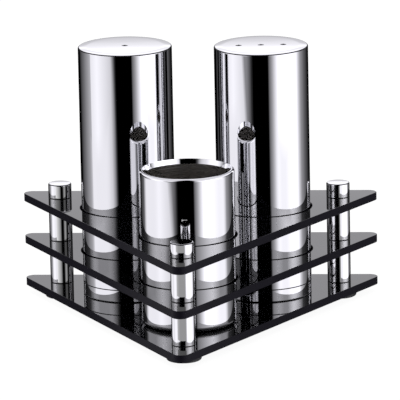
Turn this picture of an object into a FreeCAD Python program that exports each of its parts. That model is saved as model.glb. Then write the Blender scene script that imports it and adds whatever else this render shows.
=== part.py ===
import FreeCAD
import Part
import Sketcher

import os
import re

# A table set: two shakers and an open cup in a three-cornered stand.
# Millimetres, +Z up.  The origin lies on the table under the middle of the whole set, +X to the
# right and +Y to the back, so one corner of the stand points to the front.

document = FreeCAD.newDocument("ShakerSet")
sheet = document.addObject("Spreadsheet::Sheet", "Sizes")

DRIVING_SIZES = (
    ("vessel_diameter", 38.0, "outside of the shakers and the cup, inch and a half tube"),
    ("vessel_gap", 17.0, "between two neighbouring vessels"),
    ("vessel_clearance", 0.7, "all round between a vessel and the hole in a plate"),
    ("post_gap", 10.3, "between a vessel and the post in its corner"),
    ("post_diameter", 9.5, "spacers and cap nuts, three eighths of an inch bar"),
    ("post_inset", 10.4, "post axis to the two straight edges of its corner"),
    ("corner_radius", 3.5, "rounding of the plates' corners"),
    ("plate_thickness", 3.2, "acrylic sheet, an eighth of an inch"),
    ("edge_break", 0.3, "polished rounding along the plates' edges"),
    ("spacer_length", 14.6, "clear height between two plates"),
    ("spacer_chamfer", 0.25, "chamfer at both ends of a spacer"),
    ("cap_height", 6.0, "cap nut above the top plate"),
    ("cap_rounding", 0.6, "rounded top edge of a cap nut"),
    ("screw_diameter", 4.0, "thread of the long screw in each post"),
    ("screw_clearance", 0.25, "all round between the screw and what it passes through"),
    ("screw_reach", 4.0, "how far the screw goes up into the cap nut"),
    ("thread_runout", 0.8, "empty depth left above the screw's tip"),
    ("thread_clearance", 0.02, "all round between the screw and the cap nut's thread"),
    ("head_diameter", 8.0, "countersunk head of the long screw"),
    ("socket_width", 2.5, "hexagon socket in the screw head, across flats"),
    ("socket_depth", 1.5, "depth of that socket"),
    ("foot_diameter", 14.0, "rubber foot"),
    ("foot_height", 3.0, "rubber foot, table to base plate"),
    ("foot_rounding", 0.8, "rounded lower edge of a foot"),
    ("shaker_height", 102.5, "a shaker from the base plate to its top"),
    ("shaker_wall", 1.0, "wall of the shaker's sleeve"),
    ("shaker_top", 1.4, "thickness of the shaker's closed top"),
    ("shaker_rounding", 0.6, "rounded edge round the shaker's top"),
    ("seam_height", 5.2, "height of the seam between sleeve and base"),
    ("seam_chamfer", 0.15, "broken edge on both sides of that seam"),
    ("foot_edge", 0.5, "rounded lower edge of a shaker's base"),
    ("base_fit", 0.06, "all round between the base's collar and the sleeve"),
    ("base_floor", 1.5, "thickness of the floor in the base"),
    ("base_wall", 1.2, "wall round the hollow in the base"),
    ("base_recess", 0.6, "depth of the recess under the base"),
    ("base_rim", 3.0, "width of the ring that the base stands on"),
    ("collar_height", 2.2, "each of the two collars beside the seal"),
    ("seal_thickness", 1.2, "section of the round seal ring"),
    ("seal_clearance", 0.02, "between the seal and each surface beside it"),
    ("sprinkle_diameter", 2.4, "each sprinkle hole"),
    ("sprinkle_spacing", 9.0, "between two of the three sprinkle holes"),
    ("sprinkle_turn", 5.0, "degrees the row of three is turned from the back edge"),
    ("cup_height", 62.6, "the cup from the base plate to its rim"),
    ("cup_wall", 1.75, "wall of the cup"),
    ("cup_floor", 2.0, "floor of the cup"),
    ("cup_rim_rounding", 1.2, "outer rounding of the cup's rim"),
    ("cup_foot_rounding", 2.1, "outer rounding round the cup's bottom"),
    ("cup_inner_rounding", 2.0, "rounding between the cup's wall and floor"),
    ("cup_bevel_width", 0.5, "polished bevel inside the rim, across"),
    ("cup_bevel_height", 2.0, "polished bevel inside the rim, downwards"),
)

for row, (alias, number, meaning) in enumerate(DRIVING_SIZES, start=1):
    sheet.set(f"A{row}", alias)
    sheet.set(f"B{row}", str(number))
    sheet.set(f"C{row}", meaning)
    sheet.setAlias(f"B{row}", alias)
document.recompute()

ALIASES = re.compile(r"\b(" + "|".join(alias for alias, _, _ in DRIVING_SIZES) + r")\b")

# Sizes that follow from the driving ones, as expressions on the sheet
VESSEL_RADIUS = "(vessel_diameter / 2)"
POST_RADIUS = "(post_diameter / 2)"
VESSEL_CIRCLE = "((vessel_diameter + vessel_gap) / sqrt(3))"
POST_CIRCLE = f"({VESSEL_CIRCLE} + {VESSEL_RADIUS} + post_gap + {POST_RADIUS})"
CORNER_CIRCLE = f"({POST_CIRCLE} + 2 * post_inset)"
PLATE_SIDE = f"({CORNER_CIRCLE} * sqrt(3))"
# The plates' centre lies behind the middle of their front-to-back length
PLATE_CENTRE = f"({CORNER_CIRCLE} / 4 - corner_radius / 2)"

BASE_LEVEL = "foot_height"
FLOOR_LEVEL = f"({BASE_LEVEL} + plate_thickness)"
MIDDLE_LEVEL = f"({FLOOR_LEVEL} + spacer_length)"
UPPER_LEVEL = f"({MIDDLE_LEVEL} + plate_thickness)"
TOP_LEVEL = f"({UPPER_LEVEL} + spacer_length)"
CAP_LEVEL = f"({TOP_LEVEL} + plate_thickness)"

SCREW_HOLE = "(screw_diameter / 2 + screw_clearance)"
HEAD_HEIGHT = "((head_diameter - screw_diameter) / 2)"

SLEEVE_BORE = f"({VESSEL_RADIUS} - shaker_wall)"
COLLAR_RADIUS = f"({SLEEVE_BORE} - base_fit)"
SEAL_OUTSIDE = f"({SLEEVE_BORE} - seal_clearance)"
NECK_RADIUS = f"({SEAL_OUTSIDE} - seal_thickness - seal_clearance)"
NECK_HEIGHT = "(seal_thickness + 2 * seal_clearance)"
SEAL_LEVEL = f"({FLOOR_LEVEL} + seam_height + collar_height + {NECK_HEIGHT} / 2)"
PLUG_TOP = f"(seam_height + 2 * collar_height + {NECK_HEIGHT})"
CUP_BORE = f"({VESSEL_RADIUS} - cup_wall)"

# Angles round the plates' centre, in degrees from +X, which no size depends on
FRONT_ANGLE = -90
LEFT_ANGLE = 150
RIGHT_ANGLE = 30
CORNERS = (("front", FRONT_ANGLE), ("left", LEFT_ANGLE), ("right", RIGHT_ANGLE))
TOLERANCE = 1e-6


def bound(text):
    """An expression with the sheet's name put before each of its sizes."""
    return ALIASES.sub(r"Sizes.\1", text)


def worth(text):
    """The number that an expression comes to with the sheet's present sizes."""
    return float(sheet.evalExpression(bound(text)))


def place(piece, circle, angle, level):
    """Puts a piece on a circle round the plates' centre, at an angle and a height."""
    piece.setExpression("Placement.Base.x", bound(f"{circle} * cos({angle} deg)"))
    piece.setExpression("Placement.Base.y", bound(f"{PLATE_CENTRE} + {circle} * sin({angle} deg)"))
    piece.setExpression("Placement.Base.z", bound(level))


def new_body(name):
    body = document.addObject("PartDesign::Body", name)
    body.Label = name
    return body


def origin_feature(body, role):
    """One of the planes and axes of a body's own origin."""
    return next(item for item in body.Origin.OriginFeatures if item.Role == role)


def new_sketch(body, name, height="0", east="0", north="0"):
    """A level sketch of a body, its middle moved up, to the east and to the north."""
    sketch = body.newObject("Sketcher::SketchObject", name)
    sketch.AttachmentSupport = [(origin_feature(body, "XY_Plane"), "")]
    sketch.MapMode = "FlatFace"
    sketch.setExpression("AttachmentOffset.Base.x", bound(east))
    sketch.setExpression("AttachmentOffset.Base.y", bound(north))
    sketch.setExpression("AttachmentOffset.Base.z", bound(height))
    return sketch


def circle_sketch(body, name, radius, height="0", east="0", north="0"):
    """A sketch that holds one circle round its own middle."""
    sketch = new_sketch(body, name, height, east, north)
    circle = Part.Circle(FreeCAD.Vector(0, 0, 0), FreeCAD.Vector(0, 0, 1), worth(radius))
    sketch.addGeometry(circle, False)
    sketch.addConstraint(Sketcher.Constraint("Coincident", 0, 3, -1, 1))
    size = sketch.addConstraint(Sketcher.Constraint("Radius", 0, worth(radius)))
    sketch.renameConstraint(size, "radius")
    sketch.setExpression("Constraints.radius", bound(radius))
    return sketch


def disc(body, name, radius, height, length):
    """A round disc on the body's axis, from a height upwards."""
    pad = body.newObject("PartDesign::Pad", name)
    pad.Profile = circle_sketch(body, name + "_circle", radius, height)
    pad.setExpression("Length", bound(length))
    return pad


def bore(body, name, radius, height, length, east="0", north="0"):
    """A round hole from a height upwards."""
    pocket = body.newObject("PartDesign::Pocket", name)
    pocket.Profile = circle_sketch(body, name + "_circle", radius, height, east, north)
    pocket.Reversed = True
    pocket.setExpression("Length", bound(length))
    return pocket


def three_times(body, name, feature):
    """The feature once in each corner."""
    pattern = body.newObject("PartDesign::PolarPattern", name)
    pattern.Originals = [feature]
    pattern.Axis = (origin_feature(body, "Z_Axis"), [""])
    pattern.Angle = 360
    pattern.Occurrences = len(CORNERS)
    body.Tip = pattern
    return pattern


def ring_edges(feature, radius, height):
    """The names of a feature's circular edges of one radius at one height."""
    document.recompute()
    names = []
    for number, edge in enumerate(feature.Shape.Edges, start=1):
        curve = edge.Curve
        if not isinstance(curve, Part.Circle):
            continue
        same_radius = abs(curve.Radius - worth(radius)) < TOLERANCE
        same_height = abs(curve.Center.z - worth(height)) < TOLERANCE
        if same_radius and same_height:
            names.append(f"Edge{number}")
    return names


def level_edges(feature, height, hole_radius):
    """The names of a feature's edges in the level plane at a height, except small screw holes."""
    document.recompute()
    screw_holes = ring_edges(feature, hole_radius, height)
    names = []
    for number, edge in enumerate(feature.Shape.Edges, start=1):
        box = edge.BoundBox
        flat = box.ZLength < TOLERANCE and abs(box.ZMin - worth(height)) < TOLERANCE
        name = f"Edge{number}"
        if flat and name not in screw_holes:
            names.append(name)
    return names


def rounded(body, name, feature, edges, radius):
    fillet = body.newObject("PartDesign::Fillet", name)
    fillet.Base = (feature, edges)
    fillet.setExpression("Radius", bound(radius))
    return fillet


def chamfered(body, name, feature, edges, size):
    chamfer = body.newObject("PartDesign::Chamfer", name)
    chamfer.Base = (feature, edges)
    chamfer.setExpression("Size", bound(size))
    return chamfer


def triangle_sketch(body):
    """The plate's outline with sharp corners, its centre at the sketch's own middle."""
    sketch = new_sketch(body, "outline")
    half = worth(PLATE_SIDE) / 2
    back = worth(CORNER_CIRCLE) / 2
    left = FreeCAD.Vector(-half, back, 0)
    right = FreeCAD.Vector(half, back, 0)
    front = FreeCAD.Vector(0, -2 * back, 0)
    for start, end in ((left, right), (right, front), (front, left)):
        sketch.addGeometry(Part.LineSegment(start, end), False)
    for line in range(3):
        sketch.addConstraint(Sketcher.Constraint("Coincident", line, 2, (line + 1) % 3, 1))
    sketch.addConstraint(Sketcher.Constraint("Horizontal", 0))
    sketch.addConstraint(Sketcher.Constraint("Equal", 0, 1))
    sketch.addConstraint(Sketcher.Constraint("Equal", 1, 2))
    sketch.addConstraint(Sketcher.Constraint("PointOnObject", 1, 2, -2))
    side = sketch.addConstraint(Sketcher.Constraint("Distance", 0, 2 * half))
    sketch.renameConstraint(side, "side")
    sketch.setExpression("Constraints.side", bound(PLATE_SIDE))
    reach = sketch.addConstraint(Sketcher.Constraint("DistanceY", -1, 1, 0, 1, back))
    sketch.renameConstraint(reach, "back")
    sketch.setExpression("Constraints.back", bound(f"{CORNER_CIRCLE} / 2"))
    return sketch


def plate(name, level, carries_vessels, takes_screw_heads):
    """A three-cornered acrylic plate, cut with straight walls and polished along its edges."""
    body = new_body(name)
    slab = body.newObject("PartDesign::Pad", "slab")
    slab.Profile = triangle_sketch(body)
    slab.setExpression("Length", bound("plate_thickness"))
    document.recompute()
    upright = [
        f"Edge{number}"
        for number, edge in enumerate(slab.Shape.Edges, start=1)
        if edge.BoundBox.ZLength > worth("plate_thickness") / 2
    ]
    rounded(body, "corners", slab, upright, "corner_radius")

    hole = bore(body, "screw_hole", SCREW_HOLE, "0", "plate_thickness", north=f"-{POST_CIRCLE}")
    latest = three_times(body, "screw_holes", hole)
    if carries_vessels:
        opening = f"({VESSEL_RADIUS} + vessel_clearance)"
        way = bore(body, "vessel_hole", opening, "0", "plate_thickness", north=f"-{VESSEL_CIRCLE}")
        latest = three_times(body, "vessel_holes", way)
    edges = level_edges(latest, "0", SCREW_HOLE) + level_edges(latest, "plate_thickness", SCREW_HOLE)
    latest = rounded(body, "polished_edges", latest, edges, "edge_break")
    if takes_screw_heads:
        sinks = ring_edges(latest, SCREW_HOLE, "0")
        depth = f"head_diameter / 2 + thread_clearance - {SCREW_HOLE}"
        chamfered(body, "countersinks", latest, sinks, depth)
    place(body, "0", 0, level)
    return body


def spacer(name, angle, level):
    """A drilled bar that keeps two plates apart."""
    body = new_body(name)
    bar = disc(body, "bar", POST_RADIUS, "0", "spacer_length")
    ends = ring_edges(bar, POST_RADIUS, "0") + ring_edges(bar, POST_RADIUS, "spacer_length")
    chamfered(body, "ends", bar, ends, "spacer_chamfer")
    bore(body, "screw_way", SCREW_HOLE, "0", "spacer_length")
    place(body, POST_CIRCLE, angle, level)
    return body


def post_cap(name, angle):
    """A round cap nut with a blind thread, drawn down on the top plate by the long screw."""
    body = new_body(name)
    bar = disc(body, "bar", POST_RADIUS, "0", "cap_height")
    crown = rounded(body, "crown", bar, ring_edges(bar, POST_RADIUS, "cap_height"), "cap_rounding")
    chamfered(body, "foot", crown, ring_edges(crown, POST_RADIUS, "0"), "spacer_chamfer")
    thread = "(screw_diameter / 2 + thread_clearance)"
    bore(body, "thread", thread, "0", "screw_reach + thread_runout")
    place(body, POST_CIRCLE, angle, CAP_LEVEL)
    return body


def rubber_foot(name, angle):
    """A round rubber foot stuck under the base plate, over the screw's head."""
    body = new_body(name)
    pad = disc(body, "pad", "(foot_diameter / 2)", "0", "foot_height")
    rounded(body, "tread", pad, ring_edges(pad, "(foot_diameter / 2)", "0"), "foot_rounding")
    place(body, POST_CIRCLE, angle, "0")
    return body


def tie_screw(name, angle):
    """A long countersunk screw, its head flush under the base plate, its tip in the cap nut."""
    head = document.addObject("Part::Cone", name + "_head")
    head.setExpression("Radius1", bound("head_diameter / 2"))
    head.setExpression("Radius2", bound("screw_diameter / 2"))
    head.setExpression("Height", bound(HEAD_HEIGHT))
    shank = document.addObject("Part::Cylinder", name + "_shank")
    shank.setExpression("Radius", bound("screw_diameter / 2"))
    length = f"{CAP_LEVEL} + screw_reach - {BASE_LEVEL} - {HEAD_HEIGHT}"
    shank.setExpression("Height", bound(length))
    shank.setExpression("Placement.Base.z", bound(HEAD_HEIGHT))
    blank = document.addObject("Part::Fuse", name + "_blank")
    blank.Base = head
    blank.Tool = shank
    socket = document.addObject("Part::Prism", name + "_socket")
    socket.Polygon = 6
    socket.setExpression("Circumradius", bound("socket_width / sqrt(3)"))
    socket.setExpression("Height", bound("socket_depth"))
    screw = document.addObject("Part::Cut", name)
    screw.Label = name
    screw.Base = blank
    screw.Tool = socket
    place(screw, POST_CIRCLE, angle, BASE_LEVEL)
    return screw


def shaker_body(name, angle, steps):
    """A sleeve closed by a flat top, with one sprinkle hole for each step along a row."""
    body = new_body(name)
    tube = disc(body, "tube", VESSEL_RADIUS, "seam_height", "shaker_height - seam_height")
    crown = rounded(body, "crown", tube, ring_edges(tube, VESSEL_RADIUS, "shaker_height"),
                    "shaker_rounding")
    lower_edge = ring_edges(crown, VESSEL_RADIUS, "seam_height")
    chamfered(body, "seam_edge", crown, lower_edge, "seam_chamfer")
    bore(body, "inside", SLEEVE_BORE, "seam_height", "shaker_height - seam_height - shaker_top")
    for number, step in enumerate(steps, start=1):
        bore(body, f"sprinkle_hole_{number}", "(sprinkle_diameter / 2)",
             "shaker_height - shaker_top", "shaker_top",
             east=f"{step} * sprinkle_spacing * cos(sprinkle_turn * 1 deg)",
             north=f"{step} * sprinkle_spacing * sin(sprinkle_turn * 1 deg)")
    place(body, VESSEL_CIRCLE, angle, FLOOR_LEVEL)
    return body


def shaker_base(name, angle):
    """A hollow push-in base: a rim below the seam, and two collars with a seal's neck between."""
    body = new_body(name)
    rim = disc(body, "rim", VESSEL_RADIUS, "0", "seam_height")
    tread = rounded(body, "tread", rim, ring_edges(rim, VESSEL_RADIUS, "0"), "foot_edge")
    upper_edge = ring_edges(tread, VESSEL_RADIUS, "seam_height")
    chamfered(body, "seam_edge", tread, upper_edge, "seam_chamfer")
    disc(body, "lower_collar", COLLAR_RADIUS, "seam_height", "collar_height")
    disc(body, "neck", NECK_RADIUS, "seam_height + collar_height", NECK_HEIGHT)
    disc(body, "upper_collar", COLLAR_RADIUS, f"seam_height + collar_height + {NECK_HEIGHT}",
         "collar_height")
    bore(body, "recess", f"({VESSEL_RADIUS} - base_rim)", "0", "base_recess")
    floor_top = "(base_recess + base_floor)"
    bore(body, "hollow", f"({NECK_RADIUS} - base_wall)", floor_top, f"{PLUG_TOP} - {floor_top}")
    place(body, VESSEL_CIRCLE, angle, FLOOR_LEVEL)
    return body


def shaker_seal(name, angle):
    """A round silicone ring in the neck of the base."""
    ring = document.addObject("Part::Torus", name)
    ring.Label = name
    ring.setExpression("Radius1", bound(f"{SEAL_OUTSIDE} - seal_thickness / 2"))
    ring.setExpression("Radius2", bound("seal_thickness / 2"))
    place(ring, VESSEL_CIRCLE, angle, SEAL_LEVEL)
    return ring


def open_cup(name, angle):
    """An open cup: rounded foot and rim outside, a polished bevel and a rounded floor inside."""
    body = new_body(name)
    blank = disc(body, "blank", VESSEL_RADIUS, "0", "cup_height")
    foot = rounded(body, "foot", blank, ring_edges(blank, VESSEL_RADIUS, "0"),
                   "cup_foot_rounding")
    rim = rounded(body, "rim", foot, ring_edges(foot, VESSEL_RADIUS, "cup_height"),
                  "cup_rim_rounding")
    inside = bore(body, "inside", CUP_BORE, "cup_floor", "cup_height - cup_floor")
    rounded(body, "floor_edge", inside, ring_edges(inside, CUP_BORE, "cup_floor"),
            "cup_inner_rounding")
    bevel = body.newObject("PartDesign::SubtractiveCone", "bevel")
    bevel.AttachmentSupport = [(origin_feature(body, "XY_Plane"), "")]
    bevel.MapMode = "FlatFace"
    bevel.setExpression("AttachmentOffset.Base.z", bound("cup_height - cup_bevel_height"))
    bevel.setExpression("Radius1", bound(CUP_BORE))
    bevel.setExpression("Radius2", bound(f"{CUP_BORE} + cup_bevel_width"))
    bevel.setExpression("Height", bound("cup_bevel_height"))
    place(body, VESSEL_CIRCLE, angle, FLOOR_LEVEL)
    return body


pieces = [
    plate("base_plate", BASE_LEVEL, carries_vessels=False, takes_screw_heads=True),
    plate("middle_plate", MIDDLE_LEVEL, carries_vessels=True, takes_screw_heads=False),
    plate("top_plate", TOP_LEVEL, carries_vessels=True, takes_screw_heads=False),
]
for corner, corner_angle in CORNERS:
    pieces.append(rubber_foot(f"foot_{corner}", corner_angle))
    pieces.append(spacer(f"lower_spacer_{corner}", corner_angle, FLOOR_LEVEL))
    pieces.append(spacer(f"upper_spacer_{corner}", corner_angle, UPPER_LEVEL))
    pieces.append(post_cap(f"post_cap_{corner}", corner_angle))
    pieces.append(tie_screw(f"tie_screw_{corner}", corner_angle))
for contents, vessel_angle, hole_steps in (("salt", LEFT_ANGLE, (0,)),
                                           ("pepper", RIGHT_ANGLE, (-1, 0, 1))):
    pieces.append(shaker_body(f"{contents}_body", vessel_angle, hole_steps))
    pieces.append(shaker_base(f"{contents}_base", vessel_angle))
    pieces.append(shaker_seal(f"{contents}_seal", vessel_angle))
pieces.append(open_cup("cup", FRONT_ANGLE))

document.recompute()

for item in document.Objects:
    if "Invalid" in item.State or "Error" in item.State:
        raise RuntimeError(f"{item.Label} could not be worked out: {item.State}")
    if item.TypeId in ("PartDesign::Pocket", "PartDesign::SubtractiveCone"):
        before = item.BaseFeature.Shape.Volume
        if item.Shape.Volume > before - TOLERANCE:
            raise RuntimeError(f"{item.Label} cuts nothing from its body")

os.makedirs("parts", exist_ok=True)
for piece in pieces:
    if piece.Shape.isNull() or not piece.Shape.isValid():
        raise RuntimeError(f"{piece.Label} is not a sound solid")
    if len(piece.Shape.Solids) != 1:
        raise RuntimeError(f"{piece.Label} is not one solid")
for piece in pieces:
    piece.Shape.exportStep(os.path.join("parts", piece.Label + ".step"))
    box = piece.Shape.BoundBox
    print(f"{piece.Label:22s} volume {piece.Shape.Volume:10.1f}  "
          f"x {box.XMin:7.2f} {box.XMax:7.2f}  y {box.YMin:7.2f} {box.YMax:7.2f}  "
          f"z {box.ZMin:7.2f} {box.ZMax:7.2f}")
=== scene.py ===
import bmesh
import bpy
import math
import numpy as np
from mathutils import Matrix, Vector
from mathutils.geometry import delaunay_2d_cdt


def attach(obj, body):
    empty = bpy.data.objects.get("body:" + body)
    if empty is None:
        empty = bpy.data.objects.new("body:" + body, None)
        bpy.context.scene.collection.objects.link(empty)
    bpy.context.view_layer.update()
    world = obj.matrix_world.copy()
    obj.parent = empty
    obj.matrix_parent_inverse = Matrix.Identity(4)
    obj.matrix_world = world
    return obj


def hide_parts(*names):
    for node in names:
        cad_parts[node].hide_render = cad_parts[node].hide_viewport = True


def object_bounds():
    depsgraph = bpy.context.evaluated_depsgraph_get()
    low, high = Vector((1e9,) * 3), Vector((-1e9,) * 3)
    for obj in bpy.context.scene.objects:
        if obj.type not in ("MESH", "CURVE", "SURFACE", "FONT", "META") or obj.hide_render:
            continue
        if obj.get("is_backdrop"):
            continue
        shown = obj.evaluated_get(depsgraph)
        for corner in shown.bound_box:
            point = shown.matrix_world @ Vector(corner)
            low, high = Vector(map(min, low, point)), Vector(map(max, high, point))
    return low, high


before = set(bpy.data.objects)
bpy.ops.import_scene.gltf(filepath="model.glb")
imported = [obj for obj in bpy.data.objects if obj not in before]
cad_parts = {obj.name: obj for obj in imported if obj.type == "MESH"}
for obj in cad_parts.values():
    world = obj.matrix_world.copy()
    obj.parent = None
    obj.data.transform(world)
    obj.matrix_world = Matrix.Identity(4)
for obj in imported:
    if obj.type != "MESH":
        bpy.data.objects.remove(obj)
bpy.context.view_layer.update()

# Studio

# A table top in a light tent.  The camera looks through a black gap in the tent, so polished
# metal shows a black band towards it, between the white walls on the right and on the left.


def linear(hexcode):
    """An sRGB hex colour as linear red, green and blue, and an alpha of 1."""
    values = np.array([int(hexcode[i:i + 2], 16) for i in (1, 3, 5)]) / 255
    values = np.where(values <= 0.04045, values / 12.92, ((values + 0.055) / 1.055) ** 2.4)
    return (*values, 1)


def add(tree, kind, links=None, **settings):
    """Adds a node, sets its own settings, and puts a number or a link into each named input."""
    node = tree.nodes.new(kind)
    for setting, value in settings.items():
        setattr(node, setting, value)
    for name, value in (links or {}).items():
        if isinstance(value, bpy.types.NodeSocket):
            tree.links.new(value, node.inputs[name])
        else:
            node.inputs[name].default_value = value
    return node


def emptied(owner):
    """The node tree of a world or a material, switched on and cleared."""
    owner.use_nodes = True
    owner.node_tree.nodes.clear()
    return owner.node_tree


# The camera stands 2.16 m off with a long lens, 13.7 degrees above the table and a little to
# the right.  The picture leans by about a degree, and the eye is moved a few millimetres
# across and upwards to place the object in it.
azimuth, elevation, lean = math.radians(4.1), math.radians(13.7), math.radians(-1.16)
back = Vector((math.sin(azimuth) * math.cos(elevation),
               -math.cos(azimuth) * math.cos(elevation), math.sin(elevation)))
across = Vector((math.cos(azimuth), math.sin(azimuth), 0))
upward = back.cross(across)
level_across = math.cos(lean) * across + math.sin(lean) * upward
level_upward = math.cos(lean) * upward - math.sin(lean) * across
stand_middle = Vector((0, 0.0199, 0.0418))
distance, shift_across, shift_upward = 2.16, 0.00281, 0.00626
eye = stand_middle + distance * back + shift_across * across + shift_upward * upward
camera_data = bpy.data.cameras.new("camera")
camera_data.sensor_width = 36
camera_data.lens = 482.3
camera_data.clip_start = 0.05
camera_data.clip_end = 50
camera = bpy.data.objects.new("camera", camera_data)
camera.matrix_world = Matrix((
    (level_across.x, level_upward.x, back.x, eye.x),
    (level_across.y, level_upward.y, back.y, eye.y),
    (level_across.z, level_upward.z, back.z, eye.z),
    (0, 0, 0, 1)))
bpy.context.scene.collection.objects.link(camera)
bpy.context.scene.camera = camera
bpy.context.scene.view_settings.view_transform = "Standard"

# Brightness of the tent's walls by compass direction, in degrees from the front (-Y) towards +X
WALLS = ((-180, 0.0), (-142, 0.0), (-134, 0.07), (-118, 0.2), (-102, 0.4), (-91.5, 0.58),
         (-90.5, 1.05), (-70, 1.25), (-45, 0.98), (-33, 0.82), (-25, 0.32), (-21, 0.05),
         (-18, 0.0), (20.5, 0.0), (21.7, 0.15), (26, 0.3), (30, 0.48), (35, 0.82), (44, 1.45),
         (98, 1.4), (106, 0.75), (114, 0.36), (130, 0.14), (146, 0.04), (158, 0.0),
         (180, 0.0))
# Over the horizon the next row takes over, times SIDE_CLIMB by the sine of the elevation.
# Right behind, where REAR_WALL is 1, REAR_CLIMB takes the place of both.
SIDE_WALLS = ((-180, 0.03), (-165, 0.03), (-130, 0.04), (-112, 0.12), (-100, 0.85),
              (-92, 1.45), (-80, 1.93), (-60, 1.8), (-46, 1.25), (-34, 0.65), (-25, 0.08),
              (-20, 0.0), (20.5, 0.0), (24, 0.9), (38, 1.65), (50, 2.3), (60, 2.75),
              (72, 2.87), (85, 2.55), (96, 1.7), (104, 0.95), (112, 0.15), (130, 0.05),
              (166, 0.03), (180, 0.03))
SIDE_CLIMB = ((0, 0.75), (0.21, 0.75), (0.23, 1.05), (0.265, 1.05), (0.285, 0.7), (1, 0.7))
REAR_CLIMB = ((0, 0.3), (0.04, 0.4), (0.09, 0.55), (0.15, 0.66), (0.192, 0.75), (0.2, 0.885),
              (0.2034, 0.98), (0.2083, 1.03), (0.2143, 1.22), (0.218, 1.33), (0.228, 1.35),
              (0.236, 1.05), (0.265, 1.05), (0.285, 1.35), (1, 1.35))
REAR_WALL = ((-180, 1.0), (-170, 1.0), (-165, 0.0), (166, 0.0), (172, 1.0), (180, 1.0))
# The ceiling, from a sine of 0.3 upwards, is the same all round, apart from the gap, which
# goes on upwards, and darkens towards its middle.
CEILING = ((-180, 1.0), (-36, 1.0), (-20, 0.0), (20.5, 0.0), (36, 1.0), (180, 1.0))
CEILING_CLIMB = ((0, 1.3), (0.45, 1.2), (0.8, 0.9), (1, 0.85))
WHITE = linear("#FFFFFF")
CLOTH_TINT = (1, 0.99, 1.035, 1)

world = bpy.data.worlds.new("light tent")
bpy.context.scene.world = world
world.cycles.sampling_method = "NONE"
tree = emptied(world)
way = add(tree, "ShaderNodeSeparateXYZ",
          {"Vector": add(tree, "ShaderNodeTexCoord").outputs["Generated"]}).outputs
forward = add(tree, "ShaderNodeMath", {0: way["Y"], 1: -1.0}, operation="MULTIPLY")
compass = add(tree, "ShaderNodeMath", {0: way["X"], 1: forward.outputs[0]},
              operation="ARCTAN2")
turn = add(tree, "ShaderNodeMapRange", {"Value": compass.outputs[0], "From Min": -math.pi,
                                        "From Max": math.pi, "To Min": -180, "To Max": 180})


def ramp(value, stops):
    """A colour ramp over a value, from its (value, brightness) stops."""
    first, last = stops[0][0], stops[-1][0]
    share = add(tree, "ShaderNodeMapRange", {"Value": value, "From Min": first,
                                             "From Max": last})
    node = add(tree, "ShaderNodeValToRGB", {"Fac": share.outputs["Result"]})
    marks = node.color_ramp.elements
    marks[0].color = (*[stops[0][1]] * 3, 1)
    marks[1].color = (*[stops[-1][1]] * 3, 1)
    for place, level in stops[1:-1]:
        marks.new((place - first) / (last - first)).color = (level, level, level, 1)
    return node.outputs["Color"]


sides = add(tree, "ShaderNodeMix", {"Factor": 1.0, 6: ramp(turn.outputs["Result"], SIDE_WALLS),
                                    7: ramp(way["Z"], SIDE_CLIMB)},
            data_type="RGBA", blend_type="MULTIPLY")
upper = add(tree, "ShaderNodeMix", {
    "Factor": ramp(turn.outputs["Result"], REAR_WALL), 6: sides.outputs[2],
    7: ramp(way["Z"], REAR_CLIMB)}, data_type="RGBA")
ceiling = add(tree, "ShaderNodeMix", {"Factor": 1.0, 6: ramp(turn.outputs["Result"], CEILING),
                                      7: ramp(way["Z"], CEILING_CLIMB)},
              data_type="RGBA", blend_type="MULTIPLY")
rise = add(tree, "ShaderNodeMapRange", {"Value": way["Z"], "From Min": 0.01, "From Max": 0.05})
tent = add(tree, "ShaderNodeMix", {"Factor": rise.outputs["Result"],
                                   6: ramp(turn.outputs["Result"], WALLS),
                                   7: upper.outputs[2]}, data_type="RGBA")
high = add(tree, "ShaderNodeMapRange", {"Value": way["Z"], "From Min": 0.29, "From Max": 0.33})
tent = add(tree, "ShaderNodeMix", {"Factor": high.outputs["Result"], 6: tent.outputs[2],
                                   7: ceiling.outputs[2]}, data_type="RGBA")
cloth = add(tree, "ShaderNodeMix", {"Factor": 1.0, 6: tent.outputs[2], 7: CLOTH_TINT},
            data_type="RGBA", blend_type="MULTIPLY")
ray = add(tree, "ShaderNodeLightPath").outputs
soft_light = add(tree, "ShaderNodeBackground", {"Color": WHITE, "Strength": 0.9})
mirrored = add(tree, "ShaderNodeBackground", {"Color": cloth.outputs[2], "Strength": 1.0})
paper = add(tree, "ShaderNodeBackground", {"Color": WHITE, "Strength": 1.0})
seen = add(tree, "ShaderNodeMixShader", {0: ray["Is Glossy Ray"], 1: soft_light.outputs[0],
                                         2: mirrored.outputs[0]})
whole = add(tree, "ShaderNodeMixShader", {0: ray["Is Camera Ray"], 1: seen.outputs[0],
                                          2: paper.outputs[0]})
add(tree, "ShaderNodeOutputWorld", {"Surface": whole.outputs[0]})


def staging_material(name):
    """A material for staging and its empty tree; what it gives off isn't sampled as a lamp."""
    material = bpy.data.materials.new(name)
    material.cycles.emission_sampling = "NONE"
    return material, emptied(material)


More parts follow.
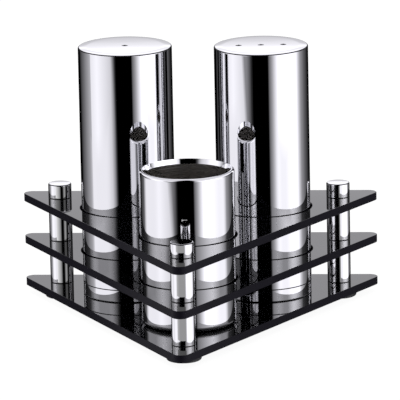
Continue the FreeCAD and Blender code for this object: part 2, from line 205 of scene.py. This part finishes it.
# The table top, blown out to the paper's white, keeps a faint shadow.  Mirrors see the tent
# through it, so that their bands run down unbroken, and from below it isn't there.  What it
# gives off is set so that it meets the paper's white with the light that falls on it.
floor_mesh = bpy.data.meshes.new("table_top")
floor_mesh.from_pydata([(-3, -3, 0), (3, -3, 0), (3, 3, 0), (-3, 3, 0)], [], [(0, 1, 2, 3)])
table_top = bpy.data.objects.new("table_top", floor_mesh)
bpy.context.scene.collection.objects.link(table_top)
table_top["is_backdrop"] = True
table_top.location.z = -0.00002
board, tree = staging_material("white_board")
card = add(tree, "ShaderNodeBsdfDiffuse")
glow = add(tree, "ShaderNodeEmission", {"Color": WHITE, "Strength": 1.093})
lit = add(tree, "ShaderNodeMixShader", {0: 0.14, 1: glow.outputs[0], 2: card.outputs[0]})
ray = add(tree, "ShaderNodeLightPath").outputs
clear = add(tree, "ShaderNodeBsdfTransparent")
shown = add(tree, "ShaderNodeMixShader", {0: ray["Is Glossy Ray"], 1: lit.outputs[0],
                                          2: clear.outputs[0]})
face = add(tree, "ShaderNodeMixShader", {0: ray["Is Diffuse Ray"], 1: shown.outputs[0],
                                         2: card.outputs[0]})
under = add(tree, "ShaderNodeNewGeometry").outputs["Backfacing"]
whole = add(tree, "ShaderNodeMixShader", {0: under, 1: face.outputs[0], 2: clear.outputs[0]})
add(tree, "ShaderNodeOutputMaterial", {"Surface": whole.outputs[0]})
floor_mesh.materials.append(board)

# A weak soft box overhead, in front on the left; mirrors don't see it.
lamp_data = bpy.data.lights.new("soft_box", "AREA")
lamp_data.shape = "RECTANGLE"
lamp_data.size = lamp_data.size_y = 0.9
lamp_data.energy = 3.0
lamp = bpy.data.objects.new("soft_box", lamp_data)
lamp.location = (-0.35, -0.45, 1.3)
lamp.rotation_euler = (Vector((0, 0, 0)) - lamp.location).to_track_quat("-Z", "Y").to_euler()
lamp.visible_glossy = False
bpy.context.scene.collection.objects.link(lamp)
lamp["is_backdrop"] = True


def hang(name, corners, material):
    """A card of four corners, in millimetres, that only mirrors see."""
    mesh = bpy.data.meshes.new(name)
    mesh.from_pydata((np.array(corners) / 1000).tolist(), [], [(0, 1, 2, 3)])
    mesh.materials.append(material)
    card = bpy.data.objects.new(name, mesh)
    bpy.context.scene.collection.objects.link(card)
    for kind in ("camera", "diffuse", "transmission", "volume_scatter", "shadow"):
        setattr(card, f"visible_{kind}", False)
    card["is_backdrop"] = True


# A white card stands close by on each side, and fades out upwards and towards both ends; the
# right one is brighter and fades out 20 mm further forward.
white_card, tree = staging_material("white_card")
point = add(tree, "ShaderNodeTexCoord").outputs["Object"]
slope = add(tree, "ShaderNodeVectorMath", {0: point, 1: (0.105, 1, 0)}, operation="DOT_PRODUCT")
place = add(tree, "ShaderNodeSeparateXYZ", {"Vector": point}).outputs
near = add(tree, "ShaderNodeMapRange", {"Value": place["Y"], "From Min": -0.03,
                                        "From Max": -0.07})
far = add(tree, "ShaderNodeMapRange", {"Value": slope.outputs["Value"], "From Min": -0.002,
                                       "From Max": 0.02})
above = add(tree, "ShaderNodeMapRange", {"Value": place["Z"], "From Min": 0.048,
                                         "From Max": 0.062})
ends = add(tree, "ShaderNodeMath", {0: near.outputs["Result"], 1: far.outputs["Result"]},
           operation="MAXIMUM")
ends = add(tree, "ShaderNodeMath", {0: ends.outputs[0], 1: above.outputs["Result"]},
           operation="MAXIMUM")
power = add(tree, "ShaderNodeMapRange", {"Value": place["X"], "From Min": -0.095,
                                         "From Max": 0.095, "To Min": 1.08, "To Max": 1.2})
sheet = add(tree, "ShaderNodeEmission", {"Color": CLOTH_TINT,
                                         "Strength": power.outputs["Result"]})
cut = add(tree, "ShaderNodeMixShader", {0: ends.outputs[0], 1: sheet.outputs[0],
                                        2: add(tree, "ShaderNodeBsdfTransparent").outputs[0]})
add(tree, "ShaderNodeOutputMaterial", {"Surface": cut.outputs[0]})
for x, name in ((-95, "card_left"), (95, "card_right")):
    hang(name, [(x, -70, -60), (x, 32, -60), (x, 32, 75), (x, -70, 75)], white_card)

# A card in front of each bar of the posts stands for what is close to them on the table, and
# only what is behind it sees it.  Each row gives the post's corner and axis, the gap between
# the card and the plate below it, the card's brightness by the place across, and its right end
# in front of the cap; places and ends are millimetres from the axis.
POST_CARDS = (
    ("front", 0, -45.9, 2, ((-4.7, 0.66), (-4.1, 0.56), (-2.65, 0.44), (-1.8, 0.37),
                            (2.4, 0.37)), 2.4),
    ("left", -56.99, 52.8, 0, ((-2.8, 1.0), (-1.76, 0.78), (-0.98, 0.61), (-0.29, 0.46),
                               (0.3, 0.34), (0.8, 0.13), (1.2, 0.0), (2.8, 0.0), (3.4, 0.15),
                               (4.2, 0.34), (5.6, 0.34), (7.7, 0.03), (12.5, 0.0)), 12.5),
    ("right", 56.99, 52.8, 0, ((0.8, 0.2), (1.1, 0.25), (1.5, 0.45)), 1.5))
BEFORE_AXIS = 6.3
for corner, axis_x, axis_y, gap, stops, cap_end in POST_CARDS:
    grey_card, tree = staging_material(f"{corner}_card")
    place = add(tree, "ShaderNodeTexCoord").outputs["Object"]
    aside = add(tree, "ShaderNodeSeparateXYZ", {"Vector": place}).outputs["X"]
    aside = add(tree, "ShaderNodeMath", {0: aside, 1: 1000.0, 2: -axis_x},
                operation="MULTIPLY_ADD")
    sheet = add(tree, "ShaderNodeEmission", {"Color": ramp(aside.outputs[0], stops)})
    cut = add(tree, "ShaderNodeMixShader", {
        0: add(tree, "ShaderNodeNewGeometry").outputs["Backfacing"],
        1: add(tree, "ShaderNodeBsdfTransparent").outputs[0], 2: sheet.outputs[0]})
    add(tree, "ShaderNodeOutputMaterial", {"Surface": cut.outputs[0]})
    left, y = axis_x + stops[0][0], axis_y - BEFORE_AXIS
    # From each plate's top up to the next plate's underside, and from the top plate to the
    # rounding of the cap
    for low, high, end in ((6.2, 20.8, stops[-1][0]), (24.0, 38.6, stops[-1][0]),
                           (41.8, 47.4, cap_end)):
        low, right = low + gap, axis_x + end
        hang(f"{corner}_card", [(left, y, low), (right, y, low), (right, y, high),
                                (left, y, high)], grey_card)

# A grey flag in front on the left shades the left wall softly, most of all for the pepper
# shaker.
grey_flag, tree = staging_material("grey_flag")
place = add(tree, "ShaderNodeTexCoord").outputs["Object"]
slope = add(tree, "ShaderNodeVectorMath", {0: place, 1: (2, 0, 1)}, operation="DOT_PRODUCT")
fade = add(tree, "ShaderNodeMapRange", {"Value": slope.outputs["Value"], "From Min": -0.105,
                                        "From Max": -0.07, "To Max": 0.64})
gauze = add(tree, "ShaderNodeMixShader", {
    0: fade.outputs["Result"], 1: add(tree, "ShaderNodeBsdfTransparent").outputs[0],
    2: add(tree, "ShaderNodeEmission", {"Strength": 0.0}).outputs[0]})
add(tree, "ShaderNodeOutputMaterial", {"Surface": gauze.outputs[0]})
hang("flag", [(-92, -86, 10), (-30, -132, 10), (-30, -132, 95), (-92, -86, 95)], grey_flag)

# Plates

# Three triangles of 3.2 mm black cast acrylic with rounded corners, cut by laser.  The faces
# keep the sheet's gloss; the cut edges and holes are sanded satin with a narrow broken edge.
# Sizes are in millimetres here and below; holes are given by their radius.
PLATE_THICKNESS = 3.2
BROKEN_EDGE = 0.2
CORNER_ROUNDING = 3.5
PLATE_LEVELS = {"base_plate": 3.0, "middle_plate": 20.8, "top_plate": 38.6}
PLATE_CENTRE = np.array((0.0, 19.901))
# Circles round the plates' centre: through their sharp corners, the posts and the vessels
CORNER_CIRCLE = 86.604
POST_CIRCLE = 65.804
VESSEL_CIRCLE = 31.754
FRONT, LEFT, RIGHT = math.radians(-90), math.radians(150), math.radians(30)
CORNERS = {"front": FRONT, "left": LEFT, "right": RIGHT}
VESSEL_HOLE = 19.7
SCREW_HOLE = 2.25
COUNTERSINK = 4.02
COUNTERSINK_DEPTH = 1.77


def spot(circle, angle):
    """The point on a circle round the plates' centre at an angle, in millimetres."""
    return PLATE_CENTRE + circle * np.array((math.cos(angle), math.sin(angle)))


def loop(middle, radius, count):
    """Points (radius cos t, radius sin t) round a middle, the first one not repeated."""
    turn = np.linspace(0, 2 * np.pi, count, endpoint=False)
    return middle + radius * np.stack((np.cos(turn), np.sin(turn)), 1)


def outline(inset):
    """The plate's outline moved inwards: three arcs whose radius is the corner's less the
    inset, each round a point on the ray from the plates' centre to its corner."""
    rays = np.array((FRONT, RIGHT, LEFT))[:, None]
    turn = rays + np.linspace(-np.pi / 3, np.pi / 3, 13)
    middle = (CORNER_CIRCLE - 2 * CORNER_ROUNDING) * np.stack((np.cos(rays), np.sin(rays)), -1)
    arcs = middle + (CORNER_ROUNDING - inset) * np.stack((np.cos(turn), np.sin(turn)), -1)
    return PLATE_CENTRE + arcs.reshape(-1, 2)


def wall(loops, heights):
    """A grid from loops stacked at heights, closed round by repeating its first column."""
    rows = np.array([np.column_stack((points, np.full(len(points), z)))
                     for points, z in zip(loops, heights)])
    return np.concatenate((rows, rows[:, :1]), 1)


def flat(outer, holes, height, inner=()):
    """A level face between an outer loop and round holes, each given as (middle, radius,
    loop): the Delaunay triangles of all loops and of the points within, without those
    inside a hole."""
    rings = [outer] + [ring for _, _, ring in holes]
    points = np.concatenate(rings + list(inner))
    edges, start = [], 0
    for ring in rings:
        index = np.arange(start, start + len(ring))
        edges += np.stack((index, np.roll(index, -1)), 1).tolist()
        start += len(ring)
    verts, _, faces, _, _, _ = delaunay_2d_cdt(
        [Vector(p) for p in points], edges, [], 1, 1e-7)
    verts = np.array([(v.x, v.y) for v in verts])
    faces = np.array(faces)
    centres = verts[faces].mean(1)
    kept = np.ones(len(faces), bool)
    for middle, radius, ring in holes:
        inside = radius * math.cos(math.pi / len(ring)) - 1e-4
        kept &= np.hypot(*(centres - middle).T) > inside
    return np.column_stack((verts, np.full(len(verts), height))), faces[kept]


def shell(name, grids, flats=(), sharp=30):
    """One closed mesh from grids of points, whose neighbours make four-cornered faces, and
    from flat faces.  Points in millimetres; the seams between the parts are welded."""
    verts, faces, start = [], [], 0
    for grid in grids:
        rows, columns = grid.shape[:2]
        index = start + np.arange(rows * columns).reshape(rows, columns)
        corners = (index[:-1, :-1], index[:-1, 1:], index[1:, 1:], index[1:, :-1])
        faces += np.stack(corners, -1).reshape(-1, 4).tolist()
        verts.append(grid.reshape(-1, 3))
        start += rows * columns
    for points, triangles in flats:
        faces += (start + triangles).tolist()
        verts.append(points)
        start += len(points)
    mesh = bpy.data.meshes.new(name)
    mesh.from_pydata((np.concatenate(verts) / 1000).tolist(), [], faces)
    work = bmesh.new()
    work.from_mesh(mesh)
    bmesh.ops.remove_doubles(work, verts=work.verts, dist=2e-6)
    bmesh.ops.recalc_face_normals(work, faces=work.faces)
    work.to_mesh(mesh)
    work.free()
    mesh.shade_smooth()
    mesh.set_sharp_from_angle(angle=math.radians(sharp))
    made = bpy.data.objects.new(name, mesh)
    bpy.context.scene.collection.objects.link(made)
    return made


def new_material(name, numbers):
    """A material of one Principled shader with the given numbers, its tree and the shader."""
    material = bpy.data.materials.new(name)
    tree = emptied(material)
    shader = add(tree, "ShaderNodeBsdfPrincipled", numbers)
    add(tree, "ShaderNodeOutputMaterial", {"Surface": shader.outputs["BSDF"]})
    return material, tree, shader


def paint(piece, quality, material, other, choose):
    """Gives a piece its material, and the other one on the faces that choose picks by their
    quality, "normal" or "center"."""
    piece.data.materials.append(material)
    piece.data.materials.append(other)
    values = np.empty(len(piece.data.polygons) * 3)
    piece.data.polygons.foreach_get(quality, values)
    chosen = choose(values.reshape(-1, 3))
    piece.data.polygons.foreach_set("material_index", chosen.astype(np.int32))


# Cast acrylic, index 1.49: the faces are as cast, a deep gloss with a trace of waviness,
# 17 mm from wave to wave
acrylic, tree, shader = new_material("black_cast_acrylic", {
    "Base Color": linear("#070709"), "IOR": 1.49, "Specular IOR Level": 0.42,
    "Roughness": 0.02})
place = add(tree, "ShaderNodeTexCoord").outputs["Object"]
waves = add(tree, "ShaderNodeTexNoise", {"Vector": place, "Scale": 60.0, "Detail": 1.0})
bump = add(tree, "ShaderNodeBump", {"Height": waves.outputs["Fac"], "Strength": 0.01,
                                    "Distance": 0.0005})
tree.links.new(bump.outputs["Normal"], shader.inputs["Normal"])

# The sanded edge of the same sheet scatters what light it sends back, and looks matt black;
# its scores are drawn coarse, 2.5 mm long and 0.3 mm apart
acrylic_edge, tree, shader = new_material("sanded_black_acrylic_edge", {
    "IOR": 1.49, "Specular IOR Level": 0.08, "Roughness": 0.5})
place = add(tree, "ShaderNodeTexCoord").outputs["Object"]
along = add(tree, "ShaderNodeMapping", {"Vector": place, "Scale": (1, 1, 8)})
scores = add(tree, "ShaderNodeTexNoise", {"Vector": along.outputs["Vector"],
                                          "Scale": 1000 / 2.5, "Detail": 3.0})
tone = add(tree, "ShaderNodeMix", {"Factor": scores.outputs["Fac"],
                                   6: linear("#0A0810"), 7: linear("#15131C")},
           data_type="RGBA")
tree.links.new(tone.outputs[2], shader.inputs["Base Color"])

quarter = np.linspace(0, np.pi / 2, 6)
edge_inset = BROKEN_EDGE * (1 - np.cos(quarter))
edge_depth = BROKEN_EDGE * (1 - np.sin(quarter))
inset = np.concatenate(((BROKEN_EDGE + 0.05,), edge_inset[::-1], (0, 0), edge_inset,
                        (BROKEN_EDGE + 0.05,)))
for name, level in PLATE_LEVELS.items():
    top = level + PLATE_THICKNESS
    height = np.concatenate(((top,), (top - edge_depth)[::-1],
                             (top - BROKEN_EDGE - 0.05, level + BROKEN_EDGE + 0.05),
                             level + edge_depth, (level,)))
    grids = [wall([outline(step) for step in inset], height)]
    holes = []
    for angle in CORNERS.values():
        middle = spot(POST_CIRCLE, angle)
        ring = loop(middle, SCREW_HOLE, 32)
        if name == "base_plate":
            below = loop(middle, COUNTERSINK, 32)
            grids.append(wall([ring, ring, below], (top, level + COUNTERSINK_DEPTH, level)))
            holes.append(((middle, SCREW_HOLE, ring), (middle, COUNTERSINK, below)))
        else:
            grids.append(wall([ring, ring], (top, level)))
            holes.append(((middle, SCREW_HOLE, ring),) * 2)
            middle = spot(VESSEL_CIRCLE, angle)
            grids.append(wall([loop(middle, VESSEL_HOLE + step, 160) for step in inset], height))
            ring = loop(middle, VESSEL_HOLE + inset[0], 160)
            holes.append(((middle, VESSEL_HOLE + inset[0], ring),) * 2)
    flats = [flat(outline(inset[0]), [pair[0] for pair in holes], top),
             flat(outline(inset[-1]), [pair[1] for pair in holes], level)]
    plate = shell(name + "_sheet", grids, flats)
    paint(plate, "normal", acrylic, acrylic_edge, lambda normal: np.abs(normal[:, 2]) < 0.9)
    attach(plate, "stand")
    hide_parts(name)

# Posts

# Each corner is held by a stack of turned bars on one long screw: a spacer between each pair
# of plates and a round cap nut on top, all chromium plated and buffed.


def arc(middle, radius, start, end, count):
    """Profile points on an arc: middle + radius (cos a, sin a), a in degrees."""
    turn = np.radians(np.linspace(start, end, count))
    return (np.array(middle) + radius * np.stack((np.cos(turn), np.sin(turn)), 1)).tolist()


def turned(profile, middle, level, count):
    """A turned piece: each profile point (r, z) goes round the axis as (r cos t, r sin t, z).
    A long step of the profile gets a row close to each end, to stay flat when shaded."""
    points = [np.array(profile[0])]
    for start, end in zip(profile[:-1], profile[1:]):
        start, end = np.array(start), np.array(end)
        step = end - start
        length = np.hypot(*step)
        if length > 0.3:
            points += [start + step * 0.05 / length, end - step * 0.05 / length]
        points.append(end)
    points = np.array(points)
    turn = np.linspace(0, 2 * np.pi, count + 1)
    turn[-1] = 0
    grid = np.empty((len(points), count + 1, 3))
    grid[..., 0] = middle[0] + points[:, :1] * np.cos(turn)
    grid[..., 1] = middle[1] + points[:, :1] * np.sin(turn)
    grid[..., 2] = level + points[:, 1:]
    return grid


# Bright chromium plate on turned bar: a mirror whose dullness varies faintly with the turning
# lines, which are drawn coarser than real, 0.3 mm apart
chrome, tree, shader = new_material("buffed_chromium_plate", {
    "Base Color": linear("#E6E6E8"), "Metallic": 1.0})
place = add(tree, "ShaderNodeTexCoord").outputs["Object"]
squeezed = add(tree, "ShaderNodeMapping", {"Vector": place, "Scale": (1, 1, 60)})
lines = add(tree, "ShaderNodeTexNoise", {"Vector": squeezed.outputs["Vector"], "Scale": 60.0,
                                         "Detail": 2.0})
dull = add(tree, "ShaderNodeMapRange", {"Value": lines.outputs["Fac"], "From Min": 0.3,
                                        "From Max": 0.7, "To Min": 0.03, "To Max": 0.06})
tree.links.new(dull.outputs["Result"], shader.inputs["Roughness"])

# Painted shade and dark reflection: a dark metal on small roundings, beside the polished
# faces.  On the seams' chamfers it is a dark joint with painted shade in its gap; in rings on
# the caps' and the shakers' top roundings it is a painted dark reflection
painted_dark_edge, _, _ = new_material("metal_edge_painted_dark", {
    "Base Color": linear("#2A2A2C"), "Metallic": 1.0, "Roughness": 0.4})


def dress(piece, polished, bands):
    """Gives a piece its polished metal, and the dark metal of painted shade in bands of levels,
    low to high.
    """
    paint(piece, "center", polished, painted_dark_edge, lambda centre: np.any(
        [(centre[:, 2] * 1000 > low) & (centre[:, 2] * 1000 < high) for low, high in bands], 0))


POST_RADIUS = 4.75
POST_CHAMFER = 0.25
SPACER_LENGTH = 14.6
CAP_LEVEL = PLATE_LEVELS["top_plate"] + PLATE_THICKNESS
CAP_HEIGHT = 6.0
CAP_ROUNDING = 0.6
CAP_DOME = 0.15
CAP_THREAD = 2.02
CAP_THREAD_DEPTH = 4.8
cap_face = POST_RADIUS - CAP_ROUNDING
# A ring just under the top of each cap is painted dark: a painted dark reflection
cap_band = (CAP_LEVEL + CAP_HEIGHT - 0.53, CAP_LEVEL + CAP_HEIGHT - 0.21)
reach = np.linspace(cap_face, 0, 16)
cap_dome = np.column_stack((reach, CAP_HEIGHT - CAP_DOME * (reach / cap_face) ** 2)).tolist()
for corner, angle in CORNERS.items():
    middle = spot(POST_CIRCLE, angle)
    for storey, plate_below in (("lower", "base_plate"), ("upper", "middle_plate")):
        level = PLATE_LEVELS[plate_below] + PLATE_THICKNESS
        profile = [(SCREW_HOLE, 0), (POST_RADIUS - POST_CHAMFER, 0), (POST_RADIUS, POST_CHAMFER),
                   (POST_RADIUS, SPACER_LENGTH - POST_CHAMFER),
                   (POST_RADIUS - POST_CHAMFER, SPACER_LENGTH), (SCREW_HOLE, SPACER_LENGTH),
                   (SCREW_HOLE, 0)]
        bar = shell(f"{storey}_post_{corner}", [turned(profile, middle, level, 96)])
        bar.data.materials.append(chrome)
        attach(bar, "stand")
        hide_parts(f"{storey}_spacer_{corner}")
    profile = [(0, CAP_THREAD_DEPTH), (CAP_THREAD, CAP_THREAD_DEPTH), (CAP_THREAD, 0),
               (POST_RADIUS - POST_CHAMFER, 0), (POST_RADIUS, POST_CHAMFER)]
    profile += arc((cap_face, CAP_HEIGHT - CAP_DOME - CAP_ROUNDING), CAP_ROUNDING, 0, 86, 9)
    profile += cap_dome
    cap = shell(f"cap_nut_{corner}", [turned(profile, middle, CAP_LEVEL, 96)])
    dress(cap, chrome, [cap_band])
    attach(cap, "stand")
    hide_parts(f"post_cap_{corner}")

# Zinc plated steel, dull silver grey
zinc, _, _ = new_material("zinc_plated_steel", {
    "Base Color": linear("#B9BBBE"), "Metallic": 1.0, "Roughness": 0.35})
for corner in CORNERS:
    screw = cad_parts[f"tie_screw_{corner}"]
    screw.data.materials.clear()
    screw.data.materials.append(zinc)

# Feet

# Three round feet of moulded black rubber with a rounded lower edge.  They are stuck under
# the base plate, over the heads of the screws.
FOOT_RADIUS = 7.0
FOOT_HEIGHT = 3.0
FOOT_ROUNDING = 0.8

# Black rubber with the grain of a spark-eroded mould, drawn coarse, 0.25 mm wide
rubber, tree, shader = new_material("moulded_black_rubber", {
    "Base Color": linear("#1A1A1C"), "Roughness": 0.6})
place = add(tree, "ShaderNodeTexCoord").outputs["Object"]
grain = add(tree, "ShaderNodeTexNoise", {"Vector": place, "Scale": 1000 / 0.25,
                                         "Detail": 2.0})
bump = add(tree, "ShaderNodeBump", {"Height": grain.outputs["Fac"], "Strength": 0.3,
                                    "Distance": 0.00005})
tree.links.new(bump.outputs["Normal"], shader.inputs["Normal"])
for corner, angle in CORNERS.items():
    profile = [(0, FOOT_HEIGHT), (FOOT_RADIUS, FOOT_HEIGHT)]
    profile += arc((FOOT_RADIUS - FOOT_ROUNDING, FOOT_ROUNDING), FOOT_ROUNDING, 0, -90, 9)
    profile += [(0, 0)]
    foot = shell(f"rubber_foot_{corner}", [turned(profile, spot(POST_CIRCLE, angle), 0, 96)])
    foot.data.materials.append(rubber)
    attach(foot, "stand")
    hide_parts(f"foot_{corner}")

# Shakers

# Two closed sleeves of 38 mm stainless tube, drawn and mirror polished, with one hole for
# salt and three for pepper, each on a push-in base sealed by a silicone ring.
VESSEL_RADIUS = 19.0
FLOOR_LEVEL = PLATE_LEVELS["base_plate"] + PLATE_THICKNESS
SHAKER_HEIGHT = 102.5
SHAKER_BORE = 18.0
SHAKER_TOP_THICKNESS = 1.4
TOP_ROUNDING = 0.6
SEAM = 5.2
SEAM_CHAMFER = 0.2
SPRINKLE_HOLE = 1.2
SPRINKLE_BEVEL = 0.12
HOLE_SPACING = 9.0
HOLE_TURN = math.radians(5)
# The push-in base: its bore, its collars, and the groove of the seal between them
BASE_BORE = 15.56
COLLAR = 17.94
GROOVE = 16.76

# Stainless steel, polished on a wheel to a mirror; its dullness varies faintly in streaks
# along the tube, 8 mm wide
steel, tree, shader = new_material("mirror_polished_steel", {
    "Base Color": linear("#E2E2E5"), "Metallic": 1.0})
place = add(tree, "ShaderNodeTexCoord").outputs["Object"]
drawn = add(tree, "ShaderNodeMapping", {"Vector": place, "Scale": (1, 1, 0.02)})
streaks = add(tree, "ShaderNodeTexNoise", {"Vector": drawn.outputs["Vector"], "Scale": 120.0,
                                           "Detail": 2.0})
dull = add(tree, "ShaderNodeMapRange", {"Value": streaks.outputs["Fac"], "From Min": 0.3,
                                        "From Max": 0.7, "To Min": 0.01, "To Max": 0.03})
tree.links.new(dull.outputs["Result"], shader.inputs["Roughness"])

# Silicone rubber, milky and half dull, index 1.41
silicone, _, _ = new_material("milky_silicone", {
    "Base Color": linear("#CDCBC4"), "Roughness": 0.35, "IOR": 1.41})


def fall(reach):
    """How far a top lies below its middle at a reach: r^2 / 3400 mm, and a soft roll past 15."""
    return reach ** 2 / 3400 + 0.12 * (np.maximum(reach - 15, 0) / 3.4) ** 2


# The seams' chamfers are painted dark: a dark joint, with painted shade in its gap
seam_band = (FLOOR_LEVEL + SEAM - SEAM_CHAMFER, FLOOR_LEVEL + SEAM + SEAM_CHAMFER)
top, under = SHAKER_HEIGHT, SHAKER_HEIGHT - SHAKER_TOP_THICKNESS
top_edge = VESSEL_RADIUS - TOP_ROUNDING
shoulder = top - TOP_ROUNDING - fall(top_edge)
# A ring on each shaker's top rounding is painted dark: a painted dark reflection
shoulder_band = (FLOOR_LEVEL + shoulder + 0.2, FLOOR_LEVEL + shoulder + 0.56)
rim = SPRINKLE_HOLE + SPRINKLE_BEVEL + 0.05
# The turned part of a top ends at a ring, outside and inside, and triangles fill the ring
OUTER_RING, INNER_RING = 15.0, 14.0
reach = np.linspace(OUTER_RING, top_edge - 0.1, 14)
roll = np.column_stack((reach, top - fall(reach))).tolist()
for contents, angle, holes in (("salt", LEFT, (0,)), ("pepper", RIGHT, (-1, 0, 1))):
    middle = spot(VESSEL_CIRCLE, angle)
    profile = roll + arc((top_edge, shoulder), TOP_ROUNDING, 84, 0, 9)
    profile += [(VESSEL_RADIUS, SEAM + SEAM_CHAMFER), (VESSEL_RADIUS - SEAM_CHAMFER, SEAM),
                (SHAKER_BORE, SEAM), (SHAKER_BORE, under), (INNER_RING, under)]
    grids = [turned(profile, middle, FLOOR_LEVEL, 240)]
    rims = {"top": [], "under": []}
    for step in holes:
        along = step * HOLE_SPACING
        place = middle + along * np.array((math.cos(HOLE_TURN), math.sin(HOLE_TURN)))
        bevel = arc((SPRINKLE_HOLE + SPRINKLE_BEVEL, top - SPRINKLE_BEVEL), SPRINKLE_BEVEL,
                    180, 90, 5)
        profile = [(SPRINKLE_HOLE, under)] + bevel + [(rim, top)]
        hole = turned(profile, place, FLOOR_LEVEL, 48)
        upper = hole[..., 2] > FLOOR_LEVEL + top - 0.2
        reach = np.hypot(hole[..., 0] - middle[0], hole[..., 1] - middle[1])
        hole[..., 2] -= np.where(upper, fall(reach), 0)
        grids.append(hole)
        rims["top"].append((place, rim, loop(place, rim, 48)))
        rims["under"].append((place, SPRINKLE_HOLE, loop(place, SPRINKLE_HOLE, 48)))
    between = [loop(middle, reach, 60) for reach in (2.5, 4, 5.5, 6.9, 11.1, 12.4, 13.7)]
    flats = [flat(loop(middle, OUTER_RING, 240), rims["top"], FLOOR_LEVEL + top, between),
             flat(loop(middle, INNER_RING, 240), rims["under"], FLOOR_LEVEL + under)]
    points = flats[0][0]
    points[:, 2] -= fall(np.hypot(points[:, 0] - middle[0], points[:, 1] - middle[1]))
    sleeve = shell(f"{contents}_sleeve_steel", grids, flats)
    dress(sleeve, steel, [seam_band, shoulder_band])
    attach(sleeve, f"{contents}_sleeve")
    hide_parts(f"{contents}_body")

    # From its floor up the bore, over the collars and the groove between them, down to the
    # seam, and round the rounded foot to the recess underneath
    profile = [(0, 2.1), (BASE_BORE, 2.1), (BASE_BORE, 10.84), (COLLAR, 10.84), (COLLAR, 8.64),
               (GROOVE, 8.64), (GROOVE, 7.4), (COLLAR, 7.4), (COLLAR, SEAM),
               (VESSEL_RADIUS - SEAM_CHAMFER, SEAM), (VESSEL_RADIUS, SEAM - SEAM_CHAMFER)]
    profile += arc((18.5, 0.5), 0.5, 0, -90, 7)
    profile += [(16, 0), (16, 0.6), (0, 0.6)]
    base = shell(f"{contents}_base_steel", [turned(profile, middle, FLOOR_LEVEL, 240)])
    dress(base, steel, [seam_band])
    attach(base, f"{contents}_plug")
    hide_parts(f"{contents}_base")
    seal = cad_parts[f"{contents}_seal"]
    seal.data.materials.clear()
    seal.data.materials.append(silicone)

# Toothpick cup

# An open cup of the same tube, polished outside and along the bevel inside its rim; the
# inside below the bevel is left brushed.
CUP_HEIGHT = 62.6
CUP_BORE = 17.25
CUP_FLOOR = 2.0
INSIDE_ROUNDING = 2.0
RIM_BEVEL = 0.5
RIM_BEVEL_HEIGHT = 2.0
RIM_ROUNDING = 1.2
LOWER_ROUNDING = 2.1
profile = [(0, CUP_FLOOR)] + arc(
    (CUP_BORE - INSIDE_ROUNDING, CUP_FLOOR + INSIDE_ROUNDING), INSIDE_ROUNDING, -90, 0, 13)
profile += [(CUP_BORE, CUP_HEIGHT - RIM_BEVEL_HEIGHT), (CUP_BORE + RIM_BEVEL, CUP_HEIGHT)]
profile += arc((VESSEL_RADIUS - RIM_ROUNDING, CUP_HEIGHT - RIM_ROUNDING), RIM_ROUNDING,
               90, 0, 11)
profile += arc((VESSEL_RADIUS - LOWER_ROUNDING, LOWER_ROUNDING), LOWER_ROUNDING, 0, -90, 15)
profile += [(0, 0)]
middle = spot(VESSEL_CIRCLE, FRONT)
cup = shell("toothpick_cup_steel", [turned(profile, middle, FLOOR_LEVEL, 240)], sharp=12)
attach(cup, "toothpick_cup")
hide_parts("cup")

# Brushed stainless steel: fine lines round the inside, far too fine to count, drawn 0.3 mm wide
brushed, tree, shader = new_material("brushed_steel", {
    "Base Color": linear("#CFCCC8"), "Metallic": 1.0})
place = add(tree, "ShaderNodeTexCoord").outputs["Object"]
squeezed = add(tree, "ShaderNodeMapping", {"Vector": place, "Scale": (1, 1, 300)})
lines = add(tree, "ShaderNodeTexNoise", {"Vector": squeezed.outputs["Vector"], "Scale": 12.0,
                                         "Detail": 3.0})
dull = add(tree, "ShaderNodeMapRange", {"Value": lines.outputs["Fac"], "From Min": 0.3,
                                        "From Max": 0.7, "To Min": 0.18, "To Max": 0.3})
bump = add(tree, "ShaderNodeBump", {"Height": lines.outputs["Fac"], "Strength": 0.3,
                                    "Distance": 0.00006})
tree.links.new(dull.outputs["Result"], shader.inputs["Roughness"])
tree.links.new(bump.outputs["Normal"], shader.inputs["Normal"])
paint(cup, "center", steel, brushed, lambda centre: (
    np.hypot(*(centre[:, :2] * 1000 - middle).T) < CUP_BORE + 0.001)
    & (centre[:, 2] * 1000 > FLOOR_LEVEL + CUP_FLOOR - 0.1))

# Sizes

# The box of the dressed object, in metres, leaving out the staging and the hidden parts.
low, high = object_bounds()
